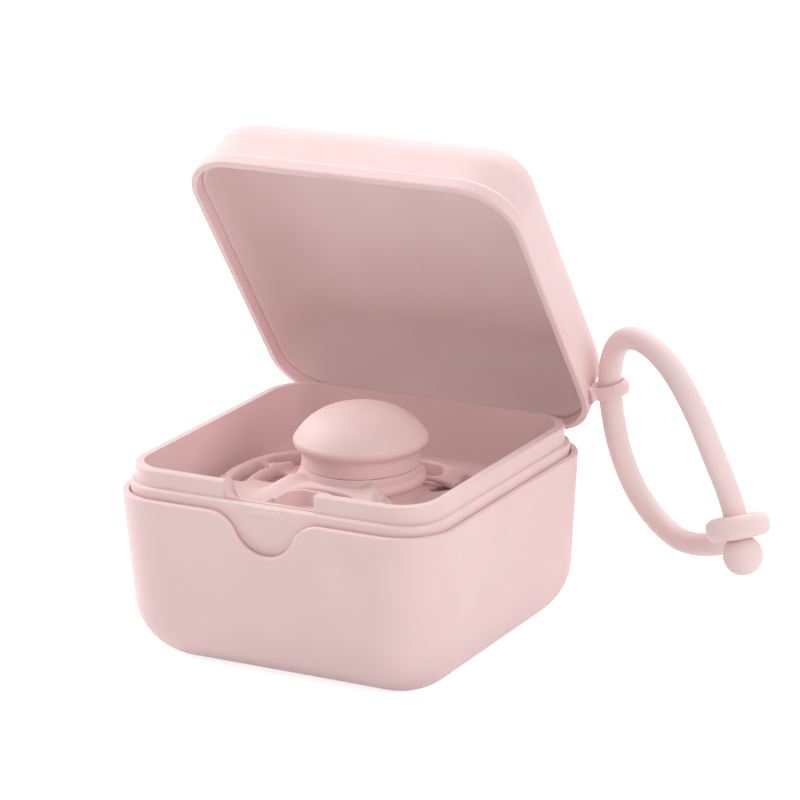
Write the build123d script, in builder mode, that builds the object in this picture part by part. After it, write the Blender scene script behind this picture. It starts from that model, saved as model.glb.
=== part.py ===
"""Hinged travel case for sterilizing and carrying a soother, with the soother that it holds.

Millimetres, +Z up. The origin is at the centre of the case's footprint, on its underside.
The front, with the thumb notch, faces -Y; the lid hinges along the back and stands open.
"""

import os
from math import cos, radians, sin, sqrt, tan

from build123d import *

# ---- case shells -----------------------------------------------------------------------
case_width = 72.0  # across the rims, X
case_depth = 70.4  # across the rims, Y
corner_radius = 11.2  # rim corners seen from above
wall_draft = 1.3  # degrees, walls narrow towards the base
shell_height = 34.4  # underside to the rim of the outer shell
shell_wall = 1.5
shell_floor = 1.8
foot_corner = 15.0  # corners at the underside, before the foot is rounded
foot_radius = 13.0  # rounding between walls and underside
rim_round = 0.4

nest_gap = 0.25  # between the walls of the outer shell and the inner cup
cup_wall = 1.5
cup_floor = 1.5
cup_rise = 1.9  # band of the cup that shows above the outer shell

notch_depth = 7.7  # thumb notch in the front of the outer shell
notch_half_width = 12.0
notch_radius = 7.2
notch_cut = 5.5  # how far in the notch is cut, through the wall alone

latch_length = 6.6  # raised bar that the lid clicks over
latch_height = 1.5
latch_proud = 0.5
latch_drop = 0.05  # below the top of the band
latch_room = 0.35  # cleared round the bar in the lid's rim

# ---- removable tray --------------------------------------------------------------------
tray_gap = 0.3  # between the tray and the inner cup
tray_round = 2.0
lip_rise = 3.45  # lip above the band
lip_setback = 0.95  # lip behind the face of the band
lip_thickness = 1.8
lip_gap = 20.0  # opening in the front of the lip
deck_top = 26.2
deck_thickness = 1.2
well_radius = 10.4  # bore that the nipple hangs in
well_wall = 1.2
well_bottom = 7.5
grip_width = 10.8  # little pocket at the front that a finger lifts the tray by
grip_length = 12.0
grip_corner = 3.6
grip_wall = 0.8
grip_top = 34.0
grip_floor = 31.1
grip_back = -14.8
grip_open = 4.6  # its wall is left out this far from its front
slot_count = 10  # steam slots in the deck
slot_circle = 17.5
slot_width = 2.2
slot_length = 6.0

# ---- lid -------------------------------------------------------------------------------
lid_height = 16.9
lid_wall = 0.8
lid_roof = 1.2
lid_draft = 5.2
lid_round = 8.8
wall_setback = 0.35  # lid's wall behind the rim of the case
bead_over = 0.2  # bead round the lid's rim, out over the rim of the case
bead_height = 3.1
bead_round = 1.0
bead_edge = 0.4
lid_seat = 0.1  # closed lid above the rim of the outer shell
liner_gap = 0.1
liner_wall = 0.75
liner_roof = 1.0
liner_setback = 2.15  # liner starts this far inside the rim, clear of the band
open_angle = 56.0  # how far the lid stands open

# ---- hinge -----------------------------------------------------------------------------
hinge_back = 1.1  # axis behind the rim of the case
hinge_drop = 0.3  # axis below the rim of the case
hinge_side = 18.0  # middle of a hinge from the side of the case
barrel_radius = 1.7
pin_radius = 0.75
pin_clearance = 0.05
lid_barrel = 8.0
ear_width = 3.0
barrel_gap = 0.2  # end play beside the lid's barrel
barrel_relief = 0.3  # wall cleared round a turning barrel
web_height = 6.0  # webs that carry the barrels and the ears
pin_inset = 0.3  # ends of a pin inside its ears

# ---- strap lug and strap ---------------------------------------------------------------
lug_side = 2.55  # centre of the eye outside the rim
lug_forward = 8.8  # centre of the eye in front of the back of the rim
lug_rise = 5.5  # centre of the eye above the rim
lug_turn = -13.8  # eye turned to follow the lid's corner
lug_tip = 28.3  # and tipped towards the lid's roof
lug_ring = 3.3  # middle of the ring from the eye's centre
lug_section = (0.7, 1.4)  # half its thickness and half its length
lug_root = (-0.4, -10.3, 1.9)  # from the rim's back right: its neck grows out of the bead here
lug_neck = (2.0, 1.3)  # radii of the neck, at the root and at the ring

strap_diameter = 4.7
strap_bend = 0.45  # share of the shorter run that each bend takes
eyelet_radius = 6.3
eyelet_bore = 2.6
eyelet_thickness = 4.6
eyelet_round = 1.9
bore_round = 0.6
eyelet_place = 2.4  # centre of the eyelet before the strap's end
neck_reach = 4.8  # where the strap's neck meets the eyelet, from its centre
neck_inset = 0.4  # neck thinner than the eyelet at each face, where they meet
ball_radius = 3.95
# from the lug's eye, with the lid standing open
strap_route = [
    (26.5, -6.8, -26.3),
    (18.2, -1.7, -29.9),
    (9.6, 2.2, -27.4),
    (3.7, 3.8, -21.75),
    (0.9, 2.1, -13.1),
    (0.27, -0.23, -2.9),
    (-0.27, 0.23, 2.9),
    (1.71, -1.69, 8.97),
    (6.34, -5.41, 13.02),
    (12.27, -8.73, 13.37),
    (18.94, -11.56, 9.66),
    (24.8, -13.4, 2.15),
    (28.04, -12.0, -7.1),
    (31.35, -10.13, -16.81),
    (33.13, -11.29, -22.95),
]

# ---- soother ---------------------------------------------------------------------------
soother_y = 3.4  # axis of the knob and the nipple
seat_gap = 0.1  # between the hub and the well's rim
shield_width = 25.6  # from its middle to a side
shield_depth = 24.6  # and to its back
shield_thickness = 2.6
shield_top = 29.4  # at its middle
shield_bend = 3.0  # its sides rise by this much
nose_radius = 12.5  # opening for the nose
nose_centre = 22.1  # its centre in front of the shield's
horn_round = 3.0
outer_row = (20.0, 22.5)  # radii of the outer row of openings
outer_openings = [(174, 210), (132, 168), (66, 114), (12, 48), (-30, 6)]  # degrees
inner_row = (14.6, 17.6)
inner_openings = [(165, 195), (111, 149), (80, 100), (31, 69), (-15, 15)]
hub_waist = 11.9  # radius of the hub at its underside
hub_bottom = 26.8
hub_top = 34.5
collar_radius = 12.8  # rounded collar round the hub
collar_bottom = 30.6
collar_middle = 31.9
collar_top = 33.2
hub_recess = 10.4
hub_ledge = 28.6  # the nipple's flange rests on it
soother_gap = 0.15  # between moulded parts of the soother
knob_radius = 13.3
knob_neck = 11.7
knob_shoulder = 36.8  # top of its neck
knob_lip = (12.6, 38.3)  # radius and height of the underside of its edge
knob_edge = 39.4  # height of its widest place
knob_crown = (12.9, 40.4)  # where its dome starts
knob_top = 46.4
knob_wall = 2.0
knob_floor = 1.5  # plug's head inside the knob's neck
nipple_flange = 1.5
nipple_wall = 1.6
nipple_neck = 7.6
nipple_waist = 5.4
nipple_bulb = 8.2
nipple_waist_z = 19.5
nipple_bulb_z = 12.2
nipple_tip = 5.2
plug_radius = 4.6
plug_reach = 4.0  # plug's spigot below the flange

# ---- worked out from the above ---------------------------------------------------------
half_width = case_width / 2
half_depth = case_depth / 2
band_top = shell_height + cup_rise
cup_inset = shell_wall + nest_gap
tray_inset = cup_inset + cup_wall + tray_gap
lip_inset = cup_inset + lip_setback
lip_top = band_top + lip_rise
hinge_y = half_depth + hinge_back
hinge_z = shell_height - hinge_drop
rim_z = shell_height + lid_seat
barrel_z = hinge_z - rim_z  # hinge axis from the lid's rim
relief_radius = barrel_radius + barrel_relief
ear_offset = lid_barrel / 2 + barrel_gap + ear_width / 2
hinge_x = half_width - hinge_side
strap_radius = strap_diameter / 2

# the open lid's own frame: its origin is the middle of its rim, z points to its roof
tilt = radians(open_angle)
lid_frame = Plane(
    origin=(
        0,
        hinge_y - hinge_y * cos(tilt) - barrel_z * sin(tilt),
        hinge_z + hinge_y * sin(tilt) - barrel_z * cos(tilt),
    ),
    x_dir=(1, 0, 0),
    z_dir=(0, sin(tilt), cos(tilt)),
)


def lid_side(x):
    """The lid's side view at x: its first axis runs to the lid's back, its second up."""
    return Plane(
        origin=lid_frame.from_local_coords((x, 0, 0)),
        x_dir=lid_frame.y_dir,
        z_dir=lid_frame.x_dir,
    )


def rim_outline(inset):
    """The case's outline at its rim, moved in by inset."""
    return RectangleRounded(
        case_width - 2 * inset, case_depth - 2 * inset, corner_radius - inset
    )


def edges_at(part, plane, height):
    """Edges that lie at one height over a plane."""

    def lies_there(edge):
        heights = [plane.to_local_coords(edge @ t).Z for t in (0, 0.5, 1)]
        return all(abs(h - height) < 0.01 for h in heights)

    return part.edges().filter_by(lies_there)


def tapered_box(plane, inset, height, draft, rounding):
    """The rim's outline drawn out to a height, narrowing, with its far edges rounded."""
    with BuildPart() as block:
        with BuildSketch(plane):
            rim_outline(inset)
        extrude(amount=height, taper=draft)
        fillet(edges_at(block.part, plane, height), rounding)
    return block.part


def body_outline(inset, z):
    """The case's outline at a height, moved in by inset."""
    drop = shell_height - z
    narrowing = inset + drop * tan(radians(wall_draft))
    corner = corner_radius + (foot_corner - corner_radius) * drop / shell_height
    return RectangleRounded(
        case_width - 2 * narrowing, case_depth - 2 * narrowing, corner - inset
    )


def body_block(inset, bottom, top, rounding):
    """A block with the case's walls between two heights, its lower edges rounded."""
    with BuildPart() as block:
        for z in (bottom, top):
            with BuildSketch(Plane.XY.offset(z)):
                body_outline(inset, z)
        loft(ruled=True)
        fillet(edges_at(block.part, Plane.XY, bottom), rounding)
    return block.part


def drafted(inset, height, draft):
    """What an inset at the rim becomes at a height, on a wall with draft."""
    return inset + height * tan(radians(draft))


def save(builder, name):
    """Label the finished piece and write it."""
    builder.part.label = name
    export_step(builder.part, f"parts/{name}.step")


os.makedirs("parts", exist_ok=True)
band_plane = Plane.XY.offset(band_top)
lip_plane = Plane.XY.offset(lip_top)
soother_plane = Plane(origin=(0, soother_y, 0), x_dir=(1, 0, 0), z_dir=(0, -1, 0))
soother_axis = Axis((0, soother_y, 0), (0, 0, 1))
hinge_centres = (-hinge_x, hinge_x)

# ---- outer shell -----------------------------------------------------------------------
shell_body = body_block(0, 0, shell_height, foot_radius)
shell_room = body_block(shell_wall, shell_floor, shell_height, foot_radius - shell_wall)
# the notch: a round bottom between two shoulders that run into the rim
shoulder_radius = (notch_half_width**2 + notch_depth**2) / (2 * notch_depth) - notch_radius
blend = notch_radius / (notch_radius + shoulder_radius)
notch_z = shell_height - notch_depth + notch_radius
blend_x = notch_half_width * blend
blend_z = notch_z + (shell_height - shoulder_radius - notch_z) * blend


def on_shell_rim(edge):
    """Whether an edge runs along the rim or the notch, and not through the wall."""
    middle = edge @ 0.5
    in_notch = middle.Y < -half_depth + notch_cut and abs(middle.X) < notch_half_width
    return (middle.Z > shell_height - 0.01 or in_notch) and edge.length > 2 * shell_wall


with BuildPart() as outer_shell:
    add(shell_body)
    add(shell_room, mode=Mode.SUBTRACT)
    with BuildSketch(Plane.XZ.offset(half_depth + 1)):
        with BuildLine():
            left = TangentArc(
                (-notch_half_width, shell_height), (-blend_x, blend_z), tangent=(1, 0)
            )
            bottom = TangentArc((-blend_x, blend_z), (blend_x, blend_z), tangent=left % 1)
            TangentArc((blend_x, blend_z), (notch_half_width, shell_height), tangent=bottom % 1)
            Line((notch_half_width, shell_height), (-notch_half_width, shell_height))
        make_face()
    extrude(amount=-notch_cut, mode=Mode.SUBTRACT)
    fillet(outer_shell.edges().filter_by(on_shell_rim), rim_round)
    for centre in hinge_centres:
        for side in (-1, 1):
            with BuildSketch(Plane.YZ.offset(centre + side * ear_offset)):
                with Locations((hinge_y, hinge_z)):
                    Circle(barrel_radius)
                with BuildLine():
                    Polyline(
                        (hinge_y + barrel_radius, hinge_z),
                        (half_depth - shell_wall / 2, hinge_z - web_height),
                        (half_depth - shell_wall / 2, hinge_z),
                        close=True,
                    )
                make_face()
            extrude(amount=ear_width / 2, both=True)
        with BuildSketch(Plane.YZ.offset(centre)):
            with Locations((hinge_y, hinge_z)):
                Circle(relief_radius)
        extrude(amount=lid_barrel / 2 + barrel_gap, both=True, mode=Mode.SUBTRACT)
        with BuildSketch(Plane.YZ.offset(centre)):
            with Locations((hinge_y, hinge_z)):
                Circle(pin_radius)
        extrude(amount=ear_offset + ear_width / 2, both=True, mode=Mode.SUBTRACT)
save(outer_shell, "outer_shell")

# ---- inner cup: its rim is the band between the shell and the lip ----------------------
band_inset = drafted(cup_inset, -cup_rise, wall_draft)
cup_round = foot_radius - cup_inset
cup_room = body_block(
    cup_inset + cup_wall, shell_floor + cup_floor, band_top, cup_round - cup_wall
)
with BuildPart() as inner_cup:
    add(body_block(cup_inset, shell_floor, band_top, cup_round))
    fillet(edges_at(inner_cup.part, Plane.XY, band_top), rim_round)
    add(cup_room, mode=Mode.SUBTRACT)
    with BuildSketch(Plane.XZ.offset(half_depth - band_inset - cup_wall / 2)):
        with Locations((0, band_top - latch_drop - latch_height / 2)):
            RectangleRounded(latch_length, latch_height, latch_height / 3)
    extrude(amount=cup_wall / 2 + latch_proud)
save(inner_cup, "inner_cup")

# ---- insert tray -----------------------------------------------------------------------
deck_bottom = deck_top - deck_thickness
well_top = hub_bottom - seat_gap
grip_middle = grip_back - grip_length / 2
tray_front = -half_depth + lip_inset + lip_thickness
tray_room = tapered_box(
    lip_plane, lip_inset + lip_thickness, deck_top - lip_top, wall_draft, tray_round
)
with BuildPart() as insert_tray:
    add(body_block(tray_inset, deck_bottom, band_top, tray_round))
    with BuildSketch(band_plane):
        rim_outline(lip_inset)
    extrude(amount=lip_rise)
    fillet(edges_at(insert_tray.part, Plane.XY, lip_top), rim_round)
    add(tray_room, mode=Mode.SUBTRACT)
    with BuildSketch(band_plane):
        with Locations((0, tray_front - lip_thickness / 2)):
            Rectangle(lip_gap, 2 * lip_thickness)
    extrude(amount=lip_rise, mode=Mode.SUBTRACT)
    with BuildSketch(Plane.XY.offset(well_bottom)):
        with Locations((0, soother_y)):
            Circle(well_radius + well_wall)
    extrude(amount=well_top - well_bottom)
    with BuildSketch(Plane.XY.offset(deck_bottom)):
        with Locations((0, grip_middle)):
            RectangleRounded(grip_width, grip_length, grip_corner)
    extrude(amount=grip_top - deck_bottom)
    with BuildSketch(Plane.XY.offset(grip_floor - grip_wall)):
        with Locations((0, (grip_middle + tray_front) / 2)):
            Rectangle(grip_width - 2 * grip_corner, grip_middle - tray_front)
    extrude(amount=grip_wall)
    with BuildSketch(Plane.XY.offset(well_bottom)):
        with Locations((0, soother_y)):
            Circle(well_radius)
    extrude(amount=well_top - well_bottom, mode=Mode.SUBTRACT)
    # the pocket: hollow over its floor, open at its front, and hollow again under the floor
    for bottom, top in ((grip_floor, grip_top), (deck_bottom, grip_floor - grip_wall)):
        with BuildSketch(Plane.XY.offset(bottom)):
            with Locations((0, grip_middle)):
                RectangleRounded(
                    grip_width - 2 * grip_wall, grip_length - 2 * grip_wall, grip_corner - grip_wall
                )
        extrude(amount=top - bottom, mode=Mode.SUBTRACT)
    with BuildSketch(Plane.XY.offset(grip_floor)):
        with Locations((0, grip_back - grip_length + grip_open / 2)):
            Rectangle(grip_width, grip_open)
    extrude(amount=grip_top - grip_floor, mode=Mode.SUBTRACT)
    with BuildSketch(Plane.XY.offset(deck_bottom)):
        with Locations((0, soother_y)):
            with PolarLocations(slot_circle, slot_count, start_angle=180 / slot_count):
                SlotOverall(slot_length, slot_width)
    extrude(amount=deck_thickness, mode=Mode.SUBTRACT)
save(insert_tray, "insert_tray")

# ---- lid -------------------------------------------------------------------------------
wall_inset = wall_setback + lid_wall
lid_room = tapered_box(
    lid_frame, wall_inset, lid_height - lid_roof, lid_draft, lid_round - lid_wall
)
lug_eye_place = (half_width + lug_side, half_depth - lug_forward, lug_rise)
turn = radians(lug_turn)
tip = radians(lug_tip)
lug_axis = (
    lid_frame.from_local_coords((sin(turn) * cos(tip), -cos(turn) * cos(tip), sin(tip)))
    - lid_frame.origin
)
eye_centre = lid_frame.from_local_coords(lug_eye_place)
lug_plane = Plane(
    origin=eye_centre, x_dir=Vector(1, 0, 0).cross(lug_axis).cross(lug_axis) * -1, z_dir=lug_axis
)
root_centre = lid_frame.from_local_coords(
    (half_width + lug_root[0], half_depth + lug_root[1], lug_root[2])
)
neck_run = (eye_centre - root_centre).normalized()
neck_end = eye_centre - neck_run * lug_ring
with BuildPart() as lug:
    with BuildSketch(Plane(origin=eye_centre, x_dir=lug_plane.x_dir, z_dir=-lug_plane.y_dir)):
        with Locations((lug_ring, 0)):
            Ellipse(*lug_section)
    revolve(axis=Axis(eye_centre, lug_axis))
    for place, radius in zip((root_centre, neck_end), lug_neck):
        with BuildSketch(Plane(origin=place, x_dir=lug_axis, z_dir=neck_run)):
            Circle(radius)
    loft()

with BuildPart() as lid_bead:
    add(tapered_box(lid_frame, -bead_over, bead_height, 0, bead_round))
    fillet(edges_at(lid_bead.part, lid_frame, 0), bead_edge)

with BuildPart() as lid_shell:
    add(tapered_box(lid_frame, wall_setback, lid_height, lid_draft, lid_round))
    add(lid_bead.part)
    add(lug.part)
    for centre in hinge_centres:
        with BuildSketch(lid_side(centre)):
            with Locations((hinge_y, barrel_z)):
                Circle(barrel_radius)
            with BuildLine():
                Polyline(
                    (hinge_y + barrel_radius, barrel_z),
                    (half_depth - wall_inset, barrel_z + web_height),
                    (half_depth - wall_inset, 0),
                    close=True,
                )
            make_face()
        extrude(amount=lid_barrel / 2, both=True)
    add(lid_room, mode=Mode.SUBTRACT)
    for centre in hinge_centres:
        for side in (-1, 1):
            with BuildSketch(lid_side(centre + side * ear_offset)):
                with Locations((hinge_y, barrel_z)):
                    Circle(relief_radius)
            extrude(amount=ear_width / 2 + barrel_gap, both=True, mode=Mode.SUBTRACT)
        with BuildSketch(lid_side(centre)):
            with Locations((hinge_y, barrel_z)):
                Circle(pin_radius + pin_clearance)
        extrude(amount=lid_barrel / 2, both=True, mode=Mode.SUBTRACT)
    with BuildSketch(lid_frame):
        with Locations((0, -half_depth + wall_inset)):
            Rectangle(latch_length + 2 * latch_room, 2 * latch_proud)
    extrude(amount=cup_rise - latch_drop + latch_room, mode=Mode.SUBTRACT)
save(lid_shell, "lid_shell")

# ---- liner of the lid ------------------------------------------------------------------
liner_plane = lid_frame.offset(liner_setback)
liner_inset = drafted(wall_inset + liner_gap, liner_setback, lid_draft)
liner_reach = lid_height - lid_roof - liner_setback
liner_round = lid_round - lid_wall - liner_gap
liner_room = tapered_box(
    liner_plane,
    liner_inset + liner_wall,
    liner_reach - liner_roof,
    lid_draft,
    liner_round - liner_wall,
)
with BuildPart() as lid_liner:
    add(tapered_box(liner_plane, liner_inset, liner_reach, lid_draft, liner_round))
    add(liner_room, mode=Mode.SUBTRACT)
save(lid_liner, "lid_liner")

# ---- hinge pins ------------------------------------------------------------------------
for centre, name in zip(hinge_centres, ("hinge_pin_left", "hinge_pin_right")):
    with BuildPart() as pin:
        with BuildSketch(Plane.YZ.offset(centre)):
            with Locations((hinge_y, hinge_z)):
                Circle(pin_radius)
        extrude(amount=ear_offset + ear_width / 2 - pin_inset, both=True)
    save(pin, name)

# ---- carrying strap --------------------------------------------------------------------
strap_points = [eye_centre + Vector(*place) for place in strap_route]
runs = [after - before for before, after in zip(strap_points, strap_points[1:])]
bend_radii = []
for before, after in zip(runs, runs[1:]):
    half_turn = radians(before.get_angle(after)) / 2
    shorter = min(before.length, after.length)
    bend_radii.append(strap_bend * shorter / tan(half_turn))
print("strap bends", [round(radius, 1) for radius in bend_radii])

with BuildPart() as carry_strap:
    with BuildLine() as strap_line:
        FilletPolyline(*strap_points, radius=bend_radii)
    with BuildSketch(strap_line.line ^ 0):
        Circle(strap_radius)
    sweep()
save(carry_strap, "carry_strap")
strap_path = strap_line.wire()
strap_section = carry_strap.part.volume / strap_path.length
print(f"strap length {strap_path.length:.2f}, volume over length {strap_section:.3f}")

strap_start = strap_path @ 0
strap_end = strap_path @ 1
start_run = strap_path % 0
end_run = strap_path % 1
ring_centre = strap_end - end_run * eyelet_place
neck_way = (ring_centre - strap_start).cross(end_run).cross(end_run).normalized()
with BuildPart() as eyelet_ring:
    with BuildSketch(Plane(origin=ring_centre, z_dir=end_run)):
        Circle(eyelet_radius)
        Circle(eyelet_bore, mode=Mode.SUBTRACT)
    extrude(amount=eyelet_thickness / 2, both=True)
    for radius, rounding in ((eyelet_radius, eyelet_round), (eyelet_bore, bore_round)):
        rings = eyelet_ring.edges().filter_by(GeomType.CIRCLE)
        fillet(rings.filter_by(lambda e: abs(e.radius - radius) < 0.01), rounding)
with BuildPart() as strap_eyelet:
    with BuildSketch(
        Plane(origin=ring_centre + neck_way * neck_reach, x_dir=end_run, z_dir=neck_way)
    ):
        Ellipse(eyelet_thickness / 2 - neck_inset, strap_radius)
    with BuildSketch(Plane(origin=strap_start, x_dir=end_run, z_dir=-start_run)):
        Circle(strap_radius)
    loft()
    add(eyelet_ring.part)
save(strap_eyelet, "strap_eyelet")

ball_reach = sqrt(ball_radius**2 - strap_radius**2)
with BuildPart() as strap_ball:
    with BuildSketch(Plane(origin=strap_end, x_dir=end_run, z_dir=end_run.cross(Vector(0, 0, 1)))):
        with BuildLine():
            ThreePointArc(
                (0, strap_radius), (ball_reach, ball_radius), (ball_reach + ball_radius, 0)
            )
            Polyline((ball_reach + ball_radius, 0), (0, 0), (0, strap_radius))
        make_face()
    revolve(axis=Axis(strap_end, end_run))
save(strap_ball, "strap_ball")

# ---- soother: shield with its hub ------------------------------------------------------
shield_edge = shield_top + shield_bend
with BuildPart() as shield_band:
    with BuildSketch(Plane.XZ):
        with BuildLine():
            for drop in (0, shield_thickness):
                ThreePointArc(
                    (-shield_width, shield_edge - drop),
                    (0, shield_top - drop),
                    (shield_width, shield_edge - drop),
                )
            for side in (-shield_width, shield_width):
                Line((side, shield_edge - shield_thickness), (side, shield_edge))
        make_face()
    extrude(amount=shield_width, both=True)

with BuildPart() as soother_shield:
    with BuildSketch(Plane.XY.offset(hub_bottom)) as shield_outline:
        Ellipse(shield_width, shield_depth)
        with Locations((0, -nose_centre)):
            Circle(nose_radius, mode=Mode.SUBTRACT)
        horns = shield_outline.vertices().filter_by(lambda v: v.Y < -nose_centre / 2)
        fillet(horns, horn_round)
        for openings, radii in ((outer_openings, outer_row), (inner_openings, inner_row)):
            for start, end in openings:
                with BuildLine():
                    for radius in radii:
                        CenterArc((0, 0), radius, start, end - start)
                    for angle in (start, end):
                        spoke = Vector(cos(radians(angle)), sin(radians(angle)))
                        Line(spoke * radii[0], spoke * radii[1])
                make_face(mode=Mode.SUBTRACT)
    extrude(amount=shield_edge - hub_bottom)
    add(shield_band.part, mode=Mode.INTERSECT)
    with BuildSketch(soother_plane):
        with BuildLine():
            ThreePointArc(
                (hub_waist, collar_bottom),
                (collar_radius, collar_middle),
                (knob_neck, collar_top),
            )
            Polyline(
                (knob_neck, collar_top),
                (knob_neck, hub_top),
                (0, hub_top),
                (0, hub_bottom),
                (hub_waist, hub_bottom),
                (hub_waist, collar_bottom),
            )
        make_face()
    revolve(axis=soother_axis)
    with BuildSketch(Plane.XY.offset(hub_ledge)):
        with Locations((0, soother_y)):
            Circle(hub_recess)
    extrude(amount=hub_top - hub_ledge, mode=Mode.SUBTRACT)
    with BuildSketch(Plane.XY.offset(hub_bottom)):
        with Locations((0, soother_y)):
            Circle(nipple_neck + soother_gap)
    extrude(amount=hub_ledge - hub_bottom, mode=Mode.SUBTRACT)
save(soother_shield, "soother_shield")

# ---- nipple, the plug that holds it, and the knob --------------------------------------
def nipple_outline(inset):
    """Points down the nipple's side, from its flange to its tip, moved in by inset."""
    return [
        (nipple_neck - inset, hub_bottom),
        (nipple_waist - inset, nipple_waist_z),
        (nipple_bulb - inset, nipple_bulb_z),
        (0, nipple_tip + inset),
    ]


flange_top = hub_ledge + nipple_flange
with BuildPart() as soother_nipple:
    for inset, mode in ((0, Mode.ADD), (nipple_wall, Mode.SUBTRACT)):
        outline = nipple_outline(inset)
        with BuildSketch(soother_plane):
            with BuildLine():
                Spline(*outline, tangents=[(0, -1), (-1, 0)])
                Polyline(outline[-1], (0, flange_top), (outline[0][0], flange_top), outline[0])
            make_face()
        revolve(axis=soother_axis, mode=mode)
    with BuildSketch(Plane.XY.offset(hub_ledge)):
        with Locations((0, soother_y)):
            Circle(hub_recess - soother_gap)
            Circle(nipple_neck - nipple_wall, mode=Mode.SUBTRACT)
    extrude(amount=nipple_flange)
save(soother_nipple, "soother_nipple")

knob_seat = hub_top + soother_gap
plug_top = knob_seat + knob_floor
with BuildPart() as soother_plug:
    with BuildSketch(Plane.XY.offset(flange_top)):
        with Locations((0, soother_y)):
            Circle(hub_recess - soother_gap)
    extrude(amount=hub_top - flange_top)
    with BuildSketch(Plane.XY.offset(flange_top - plug_reach)):
        with Locations((0, soother_y)):
            Circle(plug_radius)
    extrude(amount=plug_top - flange_top + plug_reach)
save(soother_plug, "soother_plug")

neck_top = (knob_neck, knob_shoulder)
with BuildPart() as soother_knob:
    with BuildSketch(soother_plane):
        with BuildLine():
            Polyline((0, knob_top), (0, knob_seat), (knob_neck, knob_seat), neck_top)
            Spline(neck_top, knob_lip, tangents=[(0, 1), (1, 0.3)])
            ThreePointArc(knob_lip, (knob_radius, knob_edge), knob_crown)
            Spline(knob_crown, (0, knob_top), tangents=[(-0.65, 1), (-1, 0)])
        make_face()
    revolve(axis=soother_axis)
    with BuildSketch(Plane.XY.offset(knob_seat)):
        with Locations((0, soother_y)):
            Circle(knob_neck - knob_wall)
    extrude(amount=knob_edge - knob_seat, mode=Mode.SUBTRACT)
save(soother_knob, "soother_knob")
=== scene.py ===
from math import atan2, degrees, hypot, pi, radians, sin

import bpy
from mathutils import Matrix, Vector


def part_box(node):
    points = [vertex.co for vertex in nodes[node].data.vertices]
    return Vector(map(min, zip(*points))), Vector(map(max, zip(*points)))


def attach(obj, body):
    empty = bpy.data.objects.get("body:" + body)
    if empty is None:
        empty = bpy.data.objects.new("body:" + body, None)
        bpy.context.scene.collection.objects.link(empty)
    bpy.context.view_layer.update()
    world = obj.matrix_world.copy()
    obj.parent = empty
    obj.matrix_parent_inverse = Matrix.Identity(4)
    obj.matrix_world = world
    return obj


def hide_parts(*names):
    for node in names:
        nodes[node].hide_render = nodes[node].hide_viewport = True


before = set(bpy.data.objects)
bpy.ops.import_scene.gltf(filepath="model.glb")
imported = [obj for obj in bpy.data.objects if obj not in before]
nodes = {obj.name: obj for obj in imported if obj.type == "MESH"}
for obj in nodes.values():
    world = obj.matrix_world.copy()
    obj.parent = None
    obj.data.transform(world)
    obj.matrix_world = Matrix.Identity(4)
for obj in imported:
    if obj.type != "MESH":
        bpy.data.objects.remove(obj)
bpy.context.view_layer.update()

scene = bpy.context.scene
scene.view_settings.view_transform = "Standard"


def clearSelection():
    if bpy.context.object and bpy.context.object.mode != "OBJECT":
        bpy.ops.object.mode_set(mode="OBJECT")
    bpy.ops.object.select_all(action="DESELECT")


def pick(piece):
    clearSelection()
    piece.select_set(True)
    bpy.context.view_layer.objects.active = piece


# camera, at the height and side that the case is seen from
cameraView = {
    "target": (0.010845, 0.0, 0.049548),
    "distance": 0.74254,
    "azimuth": 29.032,
    "elevation": 16.965,
    "roll": -1.147,
    "lens": 173.27,
    "sensor": 36.0,
    "clipStart": 0.01,
}
bpy.ops.object.camera_add()
camera = bpy.context.object
camera.name = "studioCamera"
camera.data.lens = cameraView["lens"]
camera.data.sensor_width = cameraView["sensor"]
camera.data.clip_start = cameraView["clipStart"]
turned = (
    Matrix.Rotation(radians(cameraView["azimuth"]), 4, "Z")
    @ Matrix.Rotation(radians(90 - cameraView["elevation"]), 4, "X")
)
standing = Vector(cameraView["target"]) + turned @ Vector((0, 0, cameraView["distance"]))
camera.matrix_world = (
    Matrix.Translation(standing) @ turned @ Matrix.Rotation(radians(cameraView["roll"]), 4, "Z")
)
scene.camera = camera
print("camera placed")

# carrying strap: a soft tube from the eyelet's neck, through the lug, to the ball
strapSettings = {
    "eye": (0.03855, 0.035655, 0.045607),  # middle of the lug's ring
    "diameter": 0.0047,
    "length": 0.1177,
    "curveOrder": 3,
    "lengthSteps": 16,
    "roundSteps": 8,
    "route": [  # centre line, measured from the eye
        (0.0265, -0.0068, -0.0263),
        (0.0182, -0.0017, -0.0299),
        (0.0096, 0.0022, -0.0274),
        (0.0037, 0.0038, -0.02175),
        (0.0009, 0.0021, -0.0131),
        (0.00027, -0.00023, -0.0029),
        (-0.00027, 0.00023, 0.0029),
        (0.00171, -0.00169, 0.00897),
        (0.00634, -0.00541, 0.01302),
        (0.01227, -0.00873, 0.01337),
        (0.01894, -0.01156, 0.00966),
        (0.0248, -0.0134, 0.00215),
        (0.02804, -0.0120, -0.0071),
        (0.03135, -0.01013, -0.01681),
        (0.03313, -0.01129, -0.02295),
    ],
}


def makeStrap(settings):
    eye = Vector(settings["eye"])
    points = [eye + Vector(place) for place in settings["route"]]
    curve = bpy.data.curves.new("carryStrapTube", "CURVE")
    curve.dimensions = "3D"
    spline = curve.splines.new("NURBS")
    spline.points.add(len(points) - 1)
    for point, place in zip(spline.points, points):
        point.co = (*place, 1.0)
        point.radius = settings["diameter"] / 2
    spline.order_u = settings["curveOrder"]
    spline.use_endpoint_u = True
    spline.resolution_u = settings["lengthSteps"]
    curve.bevel_depth = 1.0  # times each point's radius
    curve.bevel_resolution = settings["roundSteps"]
    curve.use_fill_caps = True
    strap = bpy.data.objects.new("carryStrapTube", curve)
    scene.collection.objects.link(strap)
    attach(strap, "strap")
    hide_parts("carry_strap")
    return strap


strap = makeStrap(strapSettings)
print("strap laid")

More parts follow.
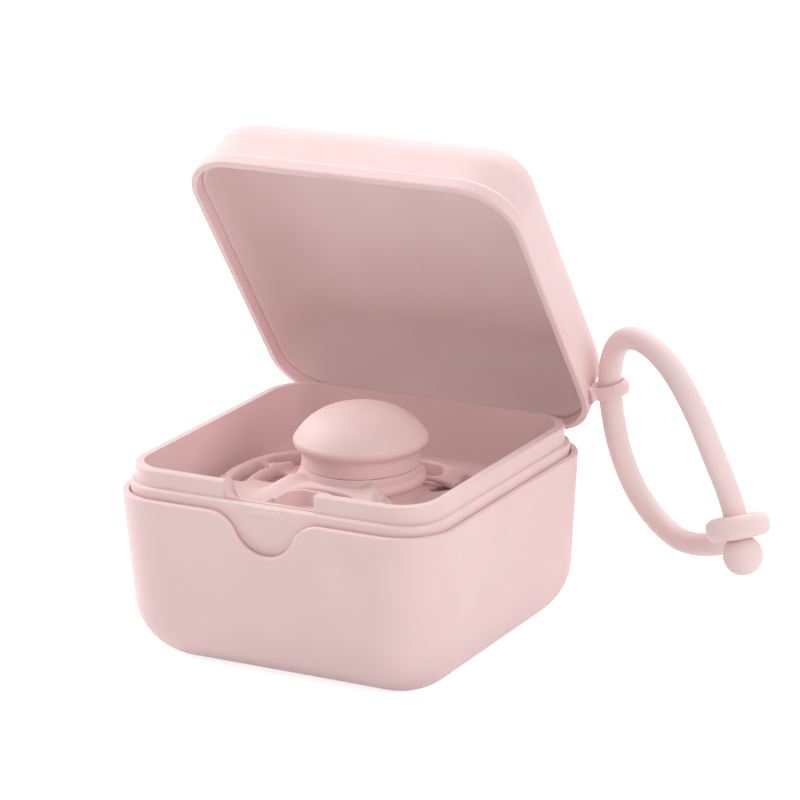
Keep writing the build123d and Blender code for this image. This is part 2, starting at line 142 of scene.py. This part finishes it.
# soother's shield: a plate with raised tubes round its openings, domed at the front up to
# the knob, and the hub that carries the knob
shieldSettings = {
    "halfWidth": 0.0256,
    "halfDepth": 0.0246,
    "plateTop": 0.0282,
    "plateThickness": 0.0014,
    "rimTube": 0.0014,
    "rimRise": 0.0001,  # centre of the rim's tube above the plate's top
    "ringRadius": 0.0201,
    "ringTube": 0.0013,
    "ringRise": 0.0001,
    "ringArcs": [(155, 203), (-23, 25)],  # degrees, from the right side round to the back
    "noseRadius": 0.0125,
    "noseCentre": -0.0221,
    "rimOpenings": [(170, 203), (130, 166), (66, 114), (16, 48), (-24, 10)],
    "rimOpeningRadii": (0.0200, 0.0226),
    "sideOpenings": [(166, 193), (-13, 14)],
    "sideOpeningRadii": (0.0161, 0.0189),
    "backOpenings": [(108, 147), (33, 72)],
    "backOpeningRadii": (0.0148, 0.0194),
    "endRounding": 0.0011,
    "cutBelow": 0.002,  # how far the cutters pass the plate's faces
    "cutAbove": 0.004,
    "voxel": 0.00034,
    "softening": 6,
    "softenBy": 0.5,
    "domeHeight": 0.0046,
    "hornAngles": (26, 40, 62, 76),  # flat and thick between the middle two, from the nose
    "hornRise": 0.0011,
    "hornSpread": 0.05,  # share by which the outline widens beside the nose
    "upward": 0.2,  # least upward part of a normal that counts as the top
    "domeAngles": (38, 58),  # full height within the first, gone by the second
    "domeRadii": (0.0135, 0.0245),
    "wingRise": 0.0026,
}
hubSettings = {
    "radius": 0.0119,
    "bottom": 0.0268,
    "seam": 0.00015,  # between the hub and the knob
    "edge": 0.0002,
    "edgeSteps": 2,
    "ledge": 0.0286,
    "recess": 0.0104,
    "bore": 0.00775,
    "boreFrom": 0.02,
    "cutPast": 0.001,  # how far the cutters pass the face they open
    "sharp": 40,  # degrees, past which an edge stays sharp
    "collarRadius": 0.0116,
    "collarTube": 0.0012,
    "collarHeight": 0.0318,
}
knobLow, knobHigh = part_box("soother_knob")
sootherAxis = ((knobLow[0] + knobHigh[0]) / 2, (knobLow[1] + knobHigh[1]) / 2)


def settle(piece):
    pick(piece)
    bpy.ops.object.transform_apply(location=True, rotation=True, scale=True)


roundSteps = {"round": 128, "tube": 24, "tubeArc": 24, "blockArc": 12, "corner": 4}
tolerance = {"merge": 0.000001, "degrees": 0.1, "upright": 0.5}  # upright: share of the height


def makeCylinder(name, radius, bottom, top, centre=(0.0, 0.0)):
    clearSelection()
    bpy.ops.mesh.primitive_cylinder_add(
        vertices=roundSteps["round"],
        radius=radius,
        depth=top - bottom,
        location=(*centre, (bottom + top) / 2),
    )
    piece = bpy.context.object
    piece.name = name
    settle(piece)
    return piece


def finishWith(piece, kind, **values):
    # adds a modifier and applies it
    modifier = piece.modifiers.new(kind.title(), kind)
    for name, value in values.items():
        setattr(modifier, name, value)
    pick(piece)
    bpy.ops.object.modifier_apply(modifier=modifier.name)


def carve(piece, cutter):
    finishWith(piece, "BOOLEAN", object=cutter, operation="DIFFERENCE", solver="EXACT")
    bpy.data.objects.remove(cutter)


def spinFace(piece, angles, steps):
    # turns the piece's single face round the vertical through the origin into an arc
    pick(piece)
    bpy.ops.object.mode_set(mode="EDIT")
    bpy.ops.mesh.select_all(action="SELECT")
    bpy.ops.mesh.spin(
        steps=steps,
        angle=radians(angles[1] - angles[0]),
        center=(0.0, 0.0, 0.0),
        axis=(0.0, 0.0, -1.0),
    )
    bpy.ops.mesh.select_all(action="SELECT")
    bpy.ops.mesh.remove_doubles(threshold=tolerance["merge"])
    bpy.ops.mesh.normals_make_consistent(inside=False)
    bpy.ops.object.mode_set(mode="OBJECT")


def makeArcBlock(angles, radii, bottom, top, rounding):
    # an opening's cutter: a curved block with its upright corners rounded
    clearSelection()
    bpy.ops.mesh.primitive_plane_add(size=1.0, rotation=(radians(90), 0.0, 0.0))
    block = bpy.context.object
    block.scale = (radii[1] - radii[0], top - bottom, 1.0)
    block.location = ((radii[0] + radii[1]) / 2, 0.0, (bottom + top) / 2)
    settle(block)
    spinFace(block, angles, roundSteps["blockArc"])
    block.rotation_euler.z = radians(angles[0])
    settle(block)
    bpy.ops.object.mode_set(mode="EDIT")
    bpy.ops.mesh.select_mode(type="EDGE")
    bpy.ops.mesh.select_all(action="DESELECT")
    bpy.ops.object.mode_set(mode="OBJECT")
    for edge in block.data.edges:
        first, second = (block.data.vertices[index].co for index in edge.vertices)
        turned = degrees(atan2(first.y, first.x))
        gaps = [abs((turned - angle + 180) % 360 - 180) for angle in angles]
        upright = abs(first.z - second.z) > tolerance["upright"] * (top - bottom)
        edge.select = upright and min(gaps) < tolerance["degrees"]
    bpy.ops.object.mode_set(mode="EDIT")
    bpy.ops.mesh.bevel(offset=rounding, segments=roundSteps["corner"])
    bpy.ops.object.mode_set(mode="OBJECT")
    return block


def makeTubeArc(angles, radius, thickness, height):
    clearSelection()
    bpy.ops.mesh.primitive_circle_add(
        vertices=roundSteps["tube"],
        radius=thickness,
        fill_type="NGON",
        location=(radius, 0.0, height),
        rotation=(radians(90), 0.0, 0.0),
    )
    tube = bpy.context.object
    settle(tube)
    spinFace(tube, angles, roundSteps["tubeArc"])
    tube.rotation_euler.z = radians(angles[0])
    settle(tube)
    return tube


def makeRing(radius, thickness, height, centre=(0.0, 0.0)):
    clearSelection()
    bpy.ops.mesh.primitive_torus_add(
        location=(*centre, height),
        major_radius=radius,
        minor_radius=thickness,
        major_segments=roundSteps["round"],
        minor_segments=roundSteps["tube"],
    )
    ring = bpy.context.object
    settle(ring)
    return ring


def easeStep(value, start, end):
    part = min(max((value - start) / (end - start), 0.0), 1.0)
    return part * part * (3 - 2 * part)


def makeShield(settings):
    top = settings["plateTop"]
    bottom = top - settings["plateThickness"]
    halfWidth, halfDepth = settings["halfWidth"], settings["halfDepth"]
    squeeze = halfWidth / halfDepth  # openings and tubes follow the outline
    cutLow, cutHigh = bottom - settings["cutBelow"], top + settings["cutAbove"]
    plate = makeCylinder("sootherShieldPlate", halfDepth, bottom, top)
    rim = makeRing(halfDepth - settings["rimTube"], settings["rimTube"], top + settings["rimRise"])
    tubes = [
        makeTubeArc(arc, settings["ringRadius"], settings["ringTube"], top + settings["ringRise"])
        for arc in settings["ringArcs"]
    ]
    pick(plate)
    for tube in (rim, *tubes):
        tube.select_set(True)
    bpy.ops.object.join()
    finishWith(plate, "REMESH", mode="VOXEL", voxel_size=settings["voxel"])
    for row in ("rim", "side", "back"):
        for angles in settings[row + "Openings"]:
            radii = settings[row + "OpeningRadii"]
            carve(plate, makeArcBlock(angles, radii, cutLow, cutHigh, settings["endRounding"]))
    nose = (0.0, settings["noseCentre"])
    carve(plate, makeCylinder("nose", settings["noseRadius"], cutLow, cutHigh, nose))
    carve(plate, makeCylinder("hubRoom", hubSettings["recess"], cutLow, cutHigh, sootherAxis))
    plate.scale.x = squeeze
    settle(plate)
    finishWith(plate, "REMESH", mode="VOXEL", voxel_size=settings["voxel"])
    finishWith(plate, "SMOOTH", factor=settings["softenBy"], iterations=settings["softening"])
    hornStart, hornFull, hornEase, hornEnd = settings["hornAngles"]
    for vertex in plate.data.vertices:
        forward = min(max(-vertex.co.y / halfDepth, 0.0), 1.0)
        vertex.co.x *= 1 + settings["hornSpread"] * sin(pi * forward)
        x, y = vertex.co.x - sootherAxis[0], vertex.co.y - sootherAxis[1]
        side = abs(degrees(atan2(x, -y)))
        horn = easeStep(side, hornStart, hornFull) * (1 - easeStep(side, hornEase, hornEnd))
        if vertex.normal.z > settings["upward"] and horn > 0:
            vertex.co.z = max(vertex.co.z, top + settings["hornRise"] * horn)
        dome = (1 - easeStep(side, *settings["domeAngles"])) * settings["domeHeight"]
        dome *= 1 - easeStep(hypot(x, y), *settings["domeRadii"])
        vertex.co.z += dome + settings["wingRise"] * (vertex.co.x / halfWidth) ** 2
    bpy.ops.object.shade_smooth()
    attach(plate, "soother")
    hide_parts("soother_shield")
    return plate


def makeHub(settings):
    seat = knobLow[2] - settings["seam"]
    hub = makeCylinder("sootherHub", settings["radius"], settings["bottom"], seat, sootherAxis)
    finishWith(
        hub, "BEVEL", width=settings["edge"], segments=settings["edgeSteps"], limit_method="ANGLE"
    )
    collar = makeRing(
        settings["collarRadius"], settings["collarTube"], settings["collarHeight"], sootherAxis
    )
    finishWith(hub, "BOOLEAN", object=collar, operation="UNION", solver="EXACT")
    bpy.data.objects.remove(collar)
    ledge, past = settings["ledge"], settings["cutPast"]
    carve(hub, makeCylinder("recess", settings["recess"], ledge, seat + past, sootherAxis))
    low, high = settings["boreFrom"], ledge + past
    carve(hub, makeCylinder("bore", settings["bore"], low, high, sootherAxis))
    pick(hub)
    bpy.ops.object.shade_smooth_by_angle(angle=radians(settings["sharp"]))
    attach(hub, "soother")
    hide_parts("soother_shield")
    return hub


shield = makeShield(shieldSettings)
hub = makeHub(hubSettings)
print("soother's shield shaped", len(shield.data.polygons), len(hub.data.polygons))


# finishes
def linear(red, green, blue):
    # a colour written from 0 to 255 as the shader takes it
    def one(value):
        value = value / 255
        return value / 12.92 if value <= 0.04045 else ((value + 0.055) / 1.055) ** 2.4

    return (one(red), one(green), one(blue), 1.0)


mouldedSettings = {
    "mottleDetail": 3.0,
    "mottleSpread": (0.35, 0.65),
    "grainDetail": 2.0,
    "grainDulling": 0.08,
    "grainDepth": 0.00005,
    "glowColour": (1.0, 0.55, 0.45),
    "glowDepth": 0.0015,
}


def makeMouldedGroup(settings):
    # soft mottling and a very fine grain, as on moulded plastic and silicone
    group = bpy.data.node_groups.new("mouldedSurface", "ShaderNodeTree")
    face = group.interface
    face.new_socket("Colour", in_out="INPUT", socket_type="NodeSocketColor")
    face.new_socket("Shade", in_out="INPUT", socket_type="NodeSocketColor")
    face.new_socket("Mottle Scale", in_out="INPUT", socket_type="NodeSocketFloat")
    face.new_socket("Grain Scale", in_out="INPUT", socket_type="NodeSocketFloat")
    face.new_socket("Roughness", in_out="INPUT", socket_type="NodeSocketFloat")
    face.new_socket("Surface Colour", in_out="OUTPUT", socket_type="NodeSocketColor")
    face.new_socket("Surface Roughness", in_out="OUTPUT", socket_type="NodeSocketFloat")
    face.new_socket("Height", in_out="OUTPUT", socket_type="NodeSocketFloat")
    tree = group.nodes
    link = group.links.new
    entry = tree.new("NodeGroupInput")
    out = tree.new("NodeGroupOutput")
    place = tree.new("ShaderNodeTexCoord")
    mottle = tree.new("ShaderNodeTexNoise")
    mottle.inputs["Detail"].default_value = settings["mottleDetail"]
    grain = tree.new("ShaderNodeTexNoise")
    grain.inputs["Detail"].default_value = settings["grainDetail"]
    spread = tree.new("ShaderNodeMapRange")
    spread.inputs["From Min"].default_value = settings["mottleSpread"][0]
    spread.inputs["From Max"].default_value = settings["mottleSpread"][1]
    tint = tree.new("ShaderNodeMix")
    tint.data_type = "RGBA"
    dull = tree.new("ShaderNodeMath")
    dull.operation = "MULTIPLY_ADD"
    dull.inputs[1].default_value = settings["grainDulling"]
    link(place.outputs["Object"], mottle.inputs["Vector"])
    link(place.outputs["Object"], grain.inputs["Vector"])
    link(entry.outputs["Mottle Scale"], mottle.inputs["Scale"])
    link(entry.outputs["Grain Scale"], grain.inputs["Scale"])
    link(mottle.outputs["Fac"], spread.inputs["Value"])
    link(spread.outputs["Result"], tint.inputs["Factor"])
    link(entry.outputs["Colour"], tint.inputs[6])
    link(entry.outputs["Shade"], tint.inputs[7])
    link(grain.outputs["Fac"], dull.inputs[0])
    link(entry.outputs["Roughness"], dull.inputs[2])
    link(tint.outputs[2], out.inputs["Surface Colour"])
    link(dull.outputs["Value"], out.inputs["Surface Roughness"])
    link(grain.outputs["Fac"], out.inputs["Height"])
    return group


mouldedGroup = makeMouldedGroup(mouldedSettings)


def mouldedMaterial(name, finish):
    material = bpy.data.materials.new(name)
    material.use_nodes = True
    tree = material.node_tree
    shader = tree.nodes["Principled BSDF"]
    surface = tree.nodes.new("ShaderNodeGroup")
    surface.node_tree = mouldedGroup
    surface.inputs["Colour"].default_value = linear(*finish["colour"])
    surface.inputs["Shade"].default_value = linear(*finish["shade"])
    surface.inputs["Mottle Scale"].default_value = finish["mottle"]
    surface.inputs["Grain Scale"].default_value = finish["grain"]
    surface.inputs["Roughness"].default_value = finish["roughness"]
    bump = tree.nodes.new("ShaderNodeBump")
    bump.inputs["Strength"].default_value = finish["bump"]
    bump.inputs["Distance"].default_value = mouldedSettings["grainDepth"]
    tree.links.new(surface.outputs["Surface Colour"], shader.inputs["Base Color"])
    tree.links.new(surface.outputs["Surface Roughness"], shader.inputs["Roughness"])
    tree.links.new(surface.outputs["Height"], bump.inputs["Height"])
    tree.links.new(bump.outputs["Normal"], shader.inputs["Normal"])
    shader.inputs["Specular IOR Level"].default_value = finish["specular"]
    shader.inputs["Subsurface Weight"].default_value = finish["glow"]
    shader.inputs["Subsurface Radius"].default_value = mouldedSettings["glowColour"]
    shader.inputs["Subsurface Scale"].default_value = mouldedSettings["glowDepth"]
    return material


casingFinish = {
    "colour": (244, 215, 214),
    "shade": (242, 212, 211),
    "mottle": 60.0,
    "grain": 9000.0,
    "roughness": 0.5,
    "bump": 0.25,
    "specular": 0.35,
    "glow": 0.12,
}
cupFinish = dict(casingFinish, colour=(246, 218, 217), shade=(244, 215, 214))
trayFinish = dict(casingFinish, colour=(242, 215, 214), shade=(239, 211, 210))
linerFinish = dict(casingFinish, colour=(242, 219, 218), shade=(239, 215, 214), roughness=0.6)
strapFinish = dict(casingFinish, colour=(248, 224, 222), shade=(246, 221, 219), roughness=0.55)
sootherFinish = dict(casingFinish, colour=(244, 216, 214), shade=(242, 213, 211), roughness=0.45)
casing = mouldedMaterial("casingPlastic", casingFinish)
cupPlastic = mouldedMaterial("cupPlastic", cupFinish)
trayPlastic = mouldedMaterial("trayPlastic", trayFinish)
linerPlastic = mouldedMaterial("linerPlastic", linerFinish)
silicone = mouldedMaterial("strapSilicone", strapFinish)
sootherPlastic = mouldedMaterial("sootherPlastic", sootherFinish)
finishOf = {
    "outer_shell": casing,
    "inner_cup": cupPlastic,
    "insert_tray": trayPlastic,
    "lid_shell": casing,
    "lid_liner": linerPlastic,
    "hinge_pin_left": cupPlastic,
    "hinge_pin_right": cupPlastic,
    "strap_eyelet": silicone,
    "strap_ball": silicone,
    "soother_shield": sootherPlastic,
    "soother_knob": sootherPlastic,
    "soother_plug": sootherPlastic,
    "soother_nipple": silicone,
}
for name, finish in finishOf.items():
    nodes[name].data.materials.clear()
    nodes[name].data.materials.append(finish)
strap.data.materials.append(silicone)
for piece in (shield, hub):
    piece.data.materials.clear()
    piece.data.materials.append(sootherPlastic)
print("finishes made")

# studio: a pale floor that stays white, a soft sky and four soft lamps
studio = {
    "floorSize": 6.0,
    "floorGrey": 0.85,
    "floorRoughness": 0.9,
    "sky": 0.43,
    "lift": 0.78,  # light the floor adds of itself where it is seen
    "aim": (0.0, 0.0, 0.04),
    "lamps": {
        "keyLamp": {"place": (0.75, -0.35, 0.85), "size": 0.7, "power": 2.3},
        "sideLamp": {"place": (0.95, -0.25, 0.35), "size": 0.5, "power": 1.6},
        "backLamp": {"place": (0.0, 0.75, 0.95), "size": 0.8, "power": 6.8},
        "leftLamp": {"place": (-0.9, 0.0, 0.7), "size": 0.7, "power": 8.4},
    },
}


def seenDirectly(tree):
    # 1 where the camera, a gloss or a clear part looks at the surface itself
    path = tree.nodes.new("ShaderNodeLightPath")
    first = tree.nodes.new("ShaderNodeMath")
    first.operation = "MAXIMUM"
    second = tree.nodes.new("ShaderNodeMath")
    second.operation = "MAXIMUM"
    tree.links.new(path.outputs["Is Camera Ray"], first.inputs[0])
    tree.links.new(path.outputs["Is Glossy Ray"], first.inputs[1])
    tree.links.new(first.outputs["Value"], second.inputs[0])
    tree.links.new(path.outputs["Is Transmission Ray"], second.inputs[1])
    return second.outputs["Value"]


def makeStudio(settings):
    bpy.ops.mesh.primitive_plane_add(size=settings["floorSize"])
    floor = bpy.context.object
    floor.name = "studioFloor"
    material = bpy.data.materials.new("studioWhite")
    material.use_nodes = True
    tree = material.node_tree
    shader = tree.nodes["Principled BSDF"]
    shader.inputs["Base Color"].default_value = (*[settings["floorGrey"]] * 3, 1.0)
    shader.inputs["Roughness"].default_value = settings["floorRoughness"]
    shader.inputs["Specular IOR Level"].default_value = 0.0
    shader.inputs["Emission Color"].default_value = (1.0, 1.0, 1.0, 1.0)
    lift = tree.nodes.new("ShaderNodeMath")
    lift.operation = "MULTIPLY"
    lift.inputs[1].default_value = settings["lift"]
    tree.links.new(seenDirectly(tree), lift.inputs[0])
    tree.links.new(lift.outputs["Value"], shader.inputs["Emission Strength"])
    floor.data.materials.append(material)
    world = bpy.data.worlds.new("studioSky")
    scene.world = world
    world.use_nodes = True
    sky = world.node_tree.nodes["Background"]
    sky.inputs["Color"].default_value = (1.0, 1.0, 1.0, 1.0)
    seen = seenDirectly(world.node_tree)
    level = world.node_tree.nodes.new("ShaderNodeMapRange")
    level.inputs["To Min"].default_value = settings["sky"]
    level.inputs["To Max"].default_value = 1.0
    world.node_tree.links.new(seen, level.inputs["Value"])
    world.node_tree.links.new(level.outputs["Result"], sky.inputs["Strength"])
    aim = Vector(settings["aim"])
    for name, lamp in settings["lamps"].items():
        bpy.ops.object.light_add(type="AREA", location=lamp["place"])
        light = bpy.context.object
        light.name = name
        light.data.size = lamp["size"]
        light.data.energy = lamp["power"]
        light.rotation_euler = (aim - Vector(lamp["place"])).to_track_quat("-Z", "Y").to_euler()


makeStudio(studio)
print("studio lit")
